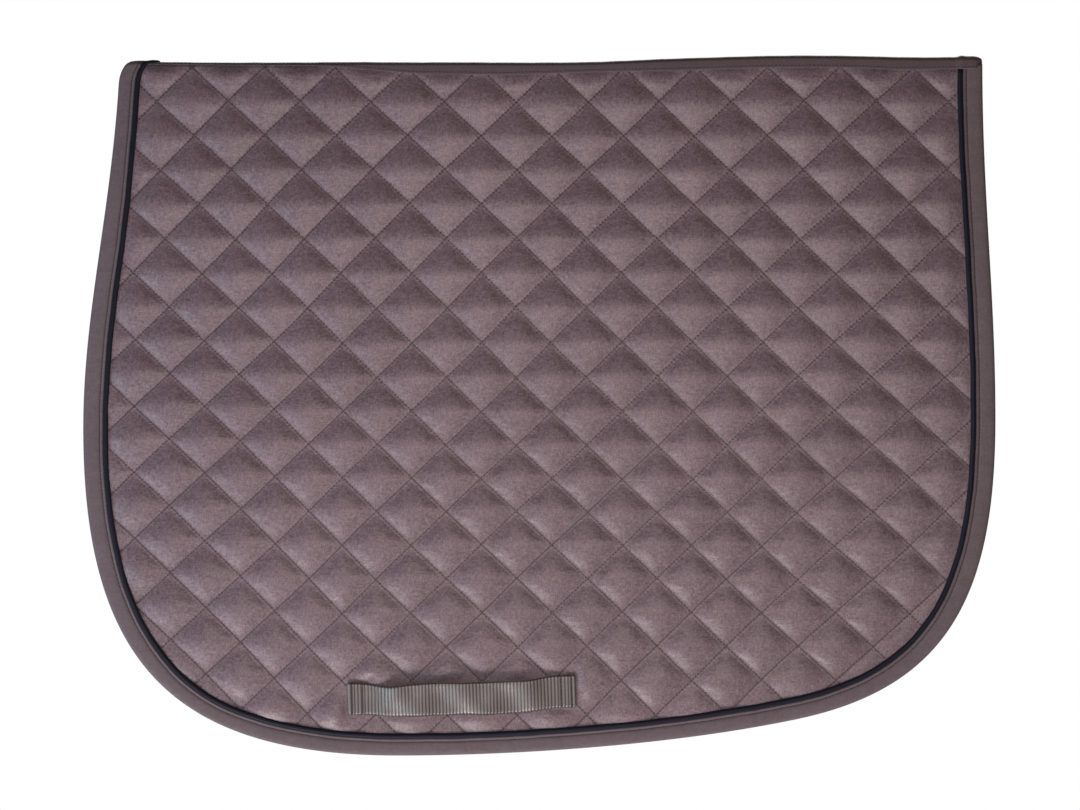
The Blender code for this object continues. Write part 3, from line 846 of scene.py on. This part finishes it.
def waddingPiece(side):
    _, _, x, unrolled, quads, height = plainGrid(side, 4, -0.6 * mm)
    inner = 1.9 * mm - 0.6 * mm * height
    outer = 3.2 * mm + 1.8 * mm * height
    count = len(x)
    points = np.concatenate([np.stack([x, side * level, unrolled], 1) for level in (inner, outer)])
    edges = np.concatenate([quads[:, [0, 1]], quads[:, [1, 2]], quads[:, [2, 3]], quads[:, [3, 0]]])
    keys = edges[:, 0] * count + edges[:, 1]
    rim = edges[~np.isin(keys, edges[:, 1] * count + edges[:, 0])]
    walls = np.stack([rim[:, 1], rim[:, 0], rim[:, 0] + count, rim[:, 1] + count], 1)
    faces = np.concatenate([quads[:, ::-1], quads + count, walls[:, ::-1]])
    faces = faces if side < 0 else faces[:, ::-1]
    piece = newPiece(nameOf[side] + "Wadding", points, list(faces), waddingMaterial)
    bendOver(piece)
    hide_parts(nameOf[side] + "_wadding")


for side in (nearSide, offSide):
    liningPiece(side)
    waddingPiece(side)
print("linings and wadding made")


# the binding folded round the free edge, as (inset, level) from the lining side round to the face
binding = {
    "width": 15.3,
    "outside": [
        (15.3, 0.42), (9, 0.35), (3, 0.42), (1.2, 0.75), (0.35, 1.4), (0, 2.5), (0.3, 3.7), (1.0, 4.65),
        (2.2, 5.25), (4, 5.5), (7, 5.62), (10, 5.58), (11.9, 5.38), (12.6, 4.98), (13.3, 5.3), (14.3, 5.72),
        (15.0, 5.5), (15.3, 5.0),
    ],
    "inside": [
        (15.0, 4.5), (5, 4.55), (2.4, 4.0), (1.5, 3.0), (1.5, 2.0), (2.4, 1.25), (5, 0.95), (15.3, 0.92),
    ],
    "flattenOverFold": 0.186,
    "spacing": 2.4 * mm,
    "rearTop": -3.2 * mm,
    "stitch": 3.0 * mm,
    "seam": 12.6,
}
piping = {
    "centre": (17.3, 5.2),
    "radius": 2.15,
    "cord": 1.0,
    "flattenOverFold": 0.335,
    "leanOverFold": 2.6 * mm,
}


def edgeAdjust(frames, inset, level, flatten, lean=0.0, softness=0.0):
    # over the fold the layers press flatter, and at the rear they flatten under the spine tape
    turned = frames["out"][:, 2:3] ** 2
    x, z = frames["middle"][:, 0:1], frames["middle"][:, 2:3]
    narrower = narrowing(x, z) * (1 - 0.35 * turned)
    inset = inset - narrower * np.clip(inset / (12 * mm), 0, 1) + lean * turned
    run = frames["run"][:, None]
    wave = ripple(run, 0.047, 11) * 0.12 * mm + ripple(run, 0.31, 17) * 0.35 * mm
    inset = inset + wave * np.clip(inset / (8 * mm), 0, 1)
    level = level * (1 - flatten * turned)
    ending = smooth(run, frames["run"][-1] - 7.0 * mm, frames["run"][-1] - 5.0 * mm)
    level = np.minimum(level, 5.2 * mm * ending + 9 * mm * (1 - ending))
    if softness:
        outer = np.clip((level - 4.4 * mm) / mm, 0, 1)
        slack = ripple(run, 0.019, 23) + 0.8 * ripple(run + inset * 1.3, 0.053, 29)
        level = level + outer * softness * slack
    return inset, level


def bindingPiece(side):
    frames = edgeFrames(side, binding["spacing"], binding["rearTop"])
    profile = np.array(binding["outside"] + binding["inside"]) * mm
    piece = sweptPiece(
        nameOf[side] + "EdgeBinding", frames, profile, side, bindingMaterial,
        lambda f, i, l: edgeAdjust(f, i, l, binding["flattenOverFold"], softness=0.09 * mm),
    )
    bendOver(piece)
    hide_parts(nameOf[side] + "_edge_binding", *(["front_binding_crown"] if side < 0 else []))


def pipingPieces(side):
    frames = edgeFrames(side, 1.8 * mm, -2.0 * mm)
    cx, cl = piping["centre"]
    r = piping["radius"]
    angles = np.radians(np.linspace(170, -40, 14))
    tube = [(cx + r * math.cos(a), cl + r * math.sin(a)) for a in angles]
    sleeve = [(cx - 6, 4.62), (cx - 6, 4.85), (cx - 2.0, 4.9)] + tube + [(cx + 0.4, 4.0), (cx - 1.4, 4.3)]
    cover = sweptPiece(
        nameOf[side] + "PipingCover", frames, np.array(sleeve) * mm, side, pipingMaterial,
        lambda f, i, l: edgeAdjust(f, i, l, piping["flattenOverFold"], piping["leanOverFold"], 0.05 * mm),
    )
    bendOver(cover)
    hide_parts(nameOf[side] + "_piping_cover", *(["front_piping_crown"] if side < 0 else []))
    ring = np.radians(np.linspace(180, -180, 10, endpoint=False))
    core = np.stack([cx + piping["cord"] * np.cos(ring), cl + piping["cord"] * np.sin(ring)], 1) * mm
    cord = sweptPiece(
        nameOf[side] + "PipingCord", frames, core, side, cordMaterial,
        lambda f, i, l: edgeAdjust(f, i, l, piping["flattenOverFold"], piping["leanOverFold"]),
    )
    bendOver(cord)
    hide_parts(nameOf[side] + "_piping_cord")


def edgePoints(side, inset, level, flatten, spacing):
    # points and directions along a line sewn at one inset
    frames = edgeFrames(side, binding["spacing"], binding["rearTop"])
    ones = np.ones((len(frames["run"]), 1))
    i, l = edgeAdjust(frames, inset * ones, level * ones, flatten)
    line = frames["middle"] + frames["into"] * i + frames["out"] * l
    both = np.hstack([line, frames["out"]])
    steps = np.concatenate([[0], np.cumsum(np.linalg.norm(np.diff(line, axis=0), axis=1))])
    at = np.arange(spacing, steps[-1] - spacing, spacing)
    found = np.stack([np.interp(at, steps, both[:, k]) for k in range(6)], 1)
    points, out = found[:, :3], found[:, 3:] / np.linalg.norm(found[:, 3:], axis=1)[:, None]
    along = np.gradient(points, axis=0)
    return points, along / np.linalg.norm(along, axis=1)[:, None], out


def bindingStitches(side):
    b = binding
    points, along, out = edgePoints(side, b["seam"] * mm, 5.12 * mm, b["flattenOverFold"], b["stitch"])
    name = nameOf[side] + "BindingStitches"
    piece = stitchPiece(name, points, along, out, 2.1 * mm, 0.30 * mm, threadMaterial)
    bendOver(piece)
    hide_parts(nameOf[side] + "_binding_thread")


for side in (nearSide, offSide):
    bindingPiece(side)
    pipingPieces(side)
    bindingStitches(side)
print("binding and piping made")


# the tape folded over the spine: one half on each flap, wrapped round the rear edge at its end
spineTape = {
    "thickness": 0.75 * mm,
    "from": -0.3065,
    "to": 0.3400,
    "turnRadius": 8.0 * mm,
    "seamUp": 1.7 * mm,
    "stitch": 2.9 * mm,
}


def tapeLift(x):
    overBinding = 0.75 * mm * smooth(x, 0.3195, 0.3235) + 0.55 * mm * bump(x, 0.3243, 0.0020)
    return spineTape["thickness"] + overBinding + 0.07 * mm * ripple(x, 0.028, 31)


def tapePoint(side, x, down, lift):
    # down is measured from the top of the fold along the tape
    return foldedPoint(side, x, topOfFold(x) - down, lift)


def spineTapePiece(side):
    body = np.arange(spineTape["from"], spineTape["to"] - spineTape["turnRadius"], 2.0 * mm)
    angles = np.radians(np.linspace(0, 90, 9))
    turnX = spineTape["to"] - spineTape["turnRadius"] + spineTape["turnRadius"] * np.sin(angles)
    x = np.concatenate([body, turnX])
    closing = np.concatenate([np.ones(len(body)), np.cos(angles) ** 0.95])
    width = tapeWidth(x, side)
    share = np.concatenate([np.linspace(0, 1, 17)[:-1] ** 0.9, [0.985, 1.0]])
    rings = []
    for s in share:
        lift = tapeLift(x) * (1 - 0.10 * bump(s * width, width - spineTape["seamUp"], 0.5 * mm))
        if s > 0.99:
            lift = lift * 0.45
        rings.append((s * width, lift))
    for s in (1.0, 0.85, 0.5, 0.0):
        rings.append((s * width, np.full_like(x, 0.05 * mm)))
    points = []
    for down, lift in rings:
        p = tapePoint(side, x, down, lift)
        centre = np.stack([x, np.zeros_like(x), -foldSag(x)], 1)
        p[:, 1] *= closing
        over = p[:, 2] > centre[:, 2]
        p[:, 2] = np.where(over, centre[:, 2] + (p[:, 2] - centre[:, 2]) * (0.12 + 0.88 * closing), p[:, 2])
        points.append(p)
    points = np.stack(points, 1)
    faces = facesOfTube(len(x), points.shape[1], side > 0)
    piece = newPiece(nameOf[side] + "SpineTape", points.reshape(-1, 3), faces, tapeMaterial)
    bendOver(piece)
    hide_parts(nameOf[side] + "_spine_tape", *(["spine_tape_crown"] if side < 0 else []))


def spineTapeStitches(side):
    x = np.arange(-0.300, 0.336, spineTape["stitch"])
    down = tapeWidth(x, side) - spineTape["seamUp"] + 0.15 * mm * ripple(x, 0.06, 41)
    points = tapePoint(side, x, down, tapeLift(x) - 0.02 * mm)
    higher = tapePoint(side, x, down - 0.4 * mm, tapeLift(x))
    along = np.gradient(points, axis=0)
    along /= np.linalg.norm(along, axis=1)[:, None]
    out = np.cross(higher - points, along) * side
    out /= np.linalg.norm(out, axis=1)[:, None]
    out *= np.sign((out * (points - np.stack([x, 0 * x, -foldSag(x) - 2 * mm], 1))).sum(1))[:, None]
    name = nameOf[side] + "SpineTapeStitches"
    piece = stitchPiece(name, points, along, out, 2.1 * mm, 0.28 * mm, threadMaterial)
    bendOver(piece)
    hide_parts(nameOf[side] + "_spine_tape_thread")


def liningTapePiece(side):
    x = np.arange(-0.306, 0.336, 4 * mm)
    shape = [
        (0, 2.3), (0.32, 1.9), (0.42, 1.0), (0.40, -1), (0.40, -6), (0.42, -11.4), (0.62, -11.8),
        (0.95, -11.4), (1.0, -6), (1.0, 0), (0.95, 1.6), (0.5, 2.5), (0, 2.8),
    ]
    points = [np.stack([x, np.full_like(x, side * a * mm), -foldSag(x) + b * mm], 1) for a, b in shape]
    faces = facesOfTube(len(x), len(shape), side < 0)
    piece = newPiece(nameOf[side] + "LiningTape", np.stack(points, 1).reshape(-1, 3), faces, tapeMaterial)
    bendOver(piece)
    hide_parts(nameOf[side] + "_lining_tape", *(["spine_lining_tape_crown"] if side < 0 else []))


def spineSeamStitches():
    x = np.arange(-0.300, 0.334, 3 * mm)
    points = np.stack([x, 0 * x, -foldSag(x) + foldShape["rise"] - 0.45 * mm], 1)
    along, out = np.tile((1.0, 0, 0), (len(x), 1)), np.tile((0, 0, 1.0), (len(x), 1))
    piece = stitchPiece("spineSeamStitches", points, along, out, 2.4 * mm, 0.28 * mm, threadMaterial)
    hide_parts("spine_seam_thread")
    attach(piece, "spine")


for side in (nearSide, offSide):
    spineTapePiece(side)
    spineTapeStitches(side)
    liningTapePiece(side)
spineSeamStitches()
print("spine tapes made")


def quiltingStitches(side):
    step = 2.9 * mm / (cellSide * mm)
    along = np.arange(-14, 14, step)
    lines = []
    for k in range(-14, 15):
        shift = 0.37 * k % 1 * step
        lines.append((np.full_like(along, k), along + shift, 1))
        lines.append((along + shift, np.full_like(along, k), 0))
    centres, runs = [], []
    for row, column, running in lines:
        x, depth = latticePlace(row, column)
        x2, depth2 = latticePlace(row + (0 if running else 0.01), column + (0.01 if running else 0))
        near = (np.abs(x) < 0.345) & (depth > 0) & (depth < 0.535)
        z, z2 = foldShape["top"] - depth, foldShape["top"] - depth2
        x, z, x2, z2 = x[near], z[near], x2[near], z2[near]
        if not len(x):
            continue
        openness, _ = flapHeight(x, z, side)
        kept = openness > 0.8 * mm
        start = foldedPoint(side, x[kept], z[kept], quilt["valley"] + 0.02 * mm)
        centres.append(start)
        run = foldedPoint(side, x2[kept], z2[kept], quilt["valley"] + 0.02 * mm) - start
        runs.append(run)
    centres, runs = np.concatenate(centres), np.concatenate(runs)
    runs /= np.linalg.norm(runs, axis=1)[:, None]
    out = np.tile((0, float(side), 0), (len(centres), 1))
    name = nameOf[side] + "QuiltingStitches"
    piece = stitchPiece(name, centres, runs, out, 2.0 * mm, 0.27 * mm, quiltingThread)
    bendOver(piece)


for side in (nearSide, offSide):
    quiltingStitches(side)
print("quilting stitches made")


# the girth keeper: ribbed webbing sewn down at both ends, standing slack off the pad between
def keeperFlow(along, across):
    # level of the middle of the webbing, and how far it has slipped down the pad
    a, w = along / mm, across / mm
    free = smooth(73.5 - np.abs(a), 0, 26)
    level = keeper["sewnLevel"] / mm + free * (keeper["freeLevel"] - keeper["sewnLevel"]) / mm
    waves = 1.3 * np.sin(math.tau * (a + 0.85 * w) / 49 + 0.6)
    waves = waves + 0.6 * np.sin(math.tau * (a - 0.4 * w) / 27 + 2.0)
    level = level + free * waves
    level = level + free * 0.10 * (w + 2) - 1.4 * bump(a, -61, 15) * smooth(w, -4, 12)
    drop = 2.4 * free + 0.3 * free * np.sin(a / 15)
    drop = drop + 2.1 * bump(a, -61, 15) * smooth(w, -6, 12)
    return level * mm, drop * mm


def keeperPath(end):
    # out along the face, round the fold at the sewn end, and back underneath
    step = keeper["rib"] / 6
    straight = np.arange(0, keeper["halfLength"] - 1.0 * mm, step)
    turn = np.radians(np.arange(-75, 76, 25))
    bend = keeper["halfLength"] - 1.0 * mm + 0.8 * mm * np.cos(turn)
    back = np.arange(keeper["halfLength"] - 1.2 * mm, keeper["halfLength"] - keeper["tab"], -step)
    along = np.concatenate([straight, bend, back]) * end
    drop = np.concatenate([0 * straight, -0.72 * mm * (1 + np.sin(turn)), 0 * back - 1.44 * mm])
    turning = math.pi / 2 + np.linspace(-1.3, 1.3, len(turn))
    tilt = np.concatenate([0 * straight, turning, 0 * back + math.pi])
    length = np.concatenate([[0], np.cumsum(np.hypot(np.diff(along), np.diff(drop)))])
    return along, drop, tilt, length


def keeperHalf(side, end):
    along, down, tilt, length = keeperPath(end)
    half, thick = keeper["halfWidth"], keeper["thickness"] / 2
    across = np.linspace(-1, 1, 15)
    face = np.concatenate([across, across[::-1]])
    layer = np.concatenate([np.ones(15), -np.ones(15)])
    rib = 0.5 + 0.5 * np.cos(math.tau * length / keeper["rib"])
    rib = np.clip(rib * 1.5, 0, 1) ** 0.8
    rounded = 1 - 0.55 * np.clip((np.abs(face) - 0.93) / 0.07, 0, 1)
    a = np.repeat(along[:, None], 30, 1)
    w = face[None] * (half - 0.35 * mm * (1 - rib[:, None]) * (np.abs(face) > 0.99))
    level, slip = keeperFlow(a, w)
    sewn = bump(np.abs(a), 84 * mm, 0.8 * mm) + bump(np.abs(a), 76 * mm, 0.8 * mm)
    off = layer[None] * (thick * rounded[None] - keeper["ribHeight"] * (1 - rib[:, None]) * 0.8)
    off = off - (layer > 0) * 0.25 * mm * sewn
    level = level + down[:, None] + off * np.cos(tilt)[:, None]
    a = a + end * off * np.sin(tilt)[:, None]
    c, s = math.cos(keeper["tilt"]), math.sin(keeper["tilt"])
    x = keeper["x"] + a * c - (w - slip) * s
    z = keeper["z"] + a * s + (w - slip) * c
    points = np.stack([x, side * level, z], -1)
    faces = facesOfTube(len(along), 30, (side * end) > 0)
    name = nameOf[side] + ("KeeperFront" if end < 0 else "KeeperRear")
    piece = newPiece(name, points.reshape(-1, 3), faces, webbingMaterial)
    # the rib share is cut along the webbing's edges too: painted shade there
    numberOn(piece, "ribAndEdgeShading", rib[:, None] * (1 - 0.75 * (np.abs(face) > 0.93)))
    numberOn(piece, "sewnBand", 0.8 * sewn)
    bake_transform(piece)
    which = "_keeper_front_end" if end < 0 else "_keeper_rear_end"
    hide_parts(nameOf[side] + which, *([nameOf[side] + "_keeper_span"] if end < 0 else []))


def keeperStitches(side, end):
    w = np.arange(-11.0, 11.1, 2.0) * mm
    centres = []
    for place in (84.0, 76.0):
        a = np.full_like(w, end * place * mm) + 0.2 * mm * np.sin(w / mm)
        level, slip = keeperFlow(a, w)
        c, s = math.cos(keeper["tilt"]), math.sin(keeper["tilt"])
        x = keeper["x"] + a * c - (w - slip) * s
        z = keeper["z"] + a * s + (w - slip) * c
        centres.append(np.stack([x, side * (level + keeper["thickness"] / 2 - 0.15 * mm), z], 1))
    centres = np.concatenate(centres)
    along = np.tile((-math.sin(keeper["tilt"]), 0, math.cos(keeper["tilt"])), (len(centres), 1))
    out = np.tile((0, float(side), 0), (len(centres), 1))
    name = nameOf[side] + ("KeeperFrontStitches" if end < 0 else "KeeperRearStitches")
    piece = stitchPiece(name, centres, along, out, 1.6 * mm, 0.36 * mm, threadMaterial)
    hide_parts(nameOf[side] + ("_keeper_front_thread" if end < 0 else "_keeper_rear_thread"))
    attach(piece, flapOf[side])


for side in (nearSide, offSide):
    for end in (-1, 1):
        keeperHalf(side, end)
        keeperStitches(side, end)
print("keepers made")


def makeStage():
    turns = np.linspace(0, math.tau, 96, endpoint=False)
    rim = np.stack([11.5 * np.cos(turns), 11.5 * np.sin(turns), np.full_like(turns, -2.3)], 1)
    floor = newPiece("studioFloor", rim, [np.arange(96)], makeFloorMaterial(), smoothShade=False)


def makeFloorMaterial():
    material, tree, shader, place = startMaterial("studioFloorPale", 0.85, specular=0.1)
    shader.inputs["Emission Color"].default_value = (0.78, 0.80, 0.83, 1)
    # it looks paler than the light it gives back
    seen = tree.nodes.new("ShaderNodeLightPath").outputs["Is Camera Ray"]
    glow = mathNode(tree, "ADD", mathNode(tree, "MULTIPLY", seen, 0.3), 0.34)
    tree.links.new(glow, shader.inputs["Emission Strength"])
    tone = noiseNode(tree, place, 3.0, 2.0)
    pale = mixColour(tree, tone, (0.80, 0.80, 0.80, 1), (0.84, 0.84, 0.84, 1))
    tree.links.new(pale, shader.inputs["Base Color"])
    return material


lights = {
    "key": {"at": (-0.62, -1.10, -1.98), "size": (0.7, 0.7), "power": 31.5, "colour": (1.0, 0.91, 0.90)},
    "strip": {"at": (0.06, -0.85, -0.32), "size": (0.8, 0.06), "power": 2.5, "colour": (1.0, 0.82, 0.81)},
    "coolSide": {"at": (-1.45, -0.70, -0.75), "size": (0.6, 0.8), "power": 9.5, "colour": (0.55, 0.80, 1.0)},
    "above": {"at": (0.5, 2.2, 1.7), "size": (1.4, 1.4), "power": 60.0, "colour": (1.0, 0.98, 0.95)},
}


def addLight(name, at, size, power, colour):
    data = bpy.data.lights.new(name, "AREA")
    data.shape = "RECTANGLE"
    data.size, data.size_y, data.energy, data.color = size[0], size[1], power, colour
    light = bpy.data.objects.new(name, data)
    scene.collection.objects.link(light)
    light.location = at
    light.rotation_euler = (Vector((0, 0, -0.27)) - Vector(at)).to_track_quat("-Z", "Y").to_euler()
    light.visible_camera = False


def makeWorld():
    world = bpy.data.worlds.new("studio")
    scene.world = world
    world.use_nodes = True
    tree = world.node_tree
    background = tree.nodes["Background"]
    background.inputs["Color"].default_value = (0.95, 0.97, 1.0, 1)
    background.inputs["Strength"].default_value = 0.045
    seen = tree.nodes.new("ShaderNodeBackground")
    seen.inputs["Color"].default_value = (1, 1, 1, 1)
    seen.inputs["Strength"].default_value = 1.0
    path = tree.nodes.new("ShaderNodeLightPath")
    mix = tree.nodes.new("ShaderNodeMixShader")
    tree.links.new(path.outputs["Is Camera Ray"], mix.inputs[0])
    tree.links.new(background.outputs[0], mix.inputs[1])
    tree.links.new(seen.outputs[0], mix.inputs[2])
    tree.links.new(mix.outputs[0], tree.nodes["World Output"].inputs["Surface"])


def makeCamera():
    data = bpy.data.cameras.new("camera")
    camera = bpy.data.objects.new("camera", data)
    scene.collection.objects.link(camera)
    distance = 2.4
    data.sensor_width = 36
    data.lens = 36 * distance / 0.8295
    camera.location = (0.5 * mm, -distance, (cadHigh.z + cadLow.z) / 2)
    camera.rotation_euler = (math.pi / 2, 0, 0)
    scene.camera = camera


makeStage()
for name, values in lights.items():
    addLight(name, **values)
makeWorld()
makeCamera()
scene.view_settings.view_transform = "Standard"
print("stage, lights and camera set")
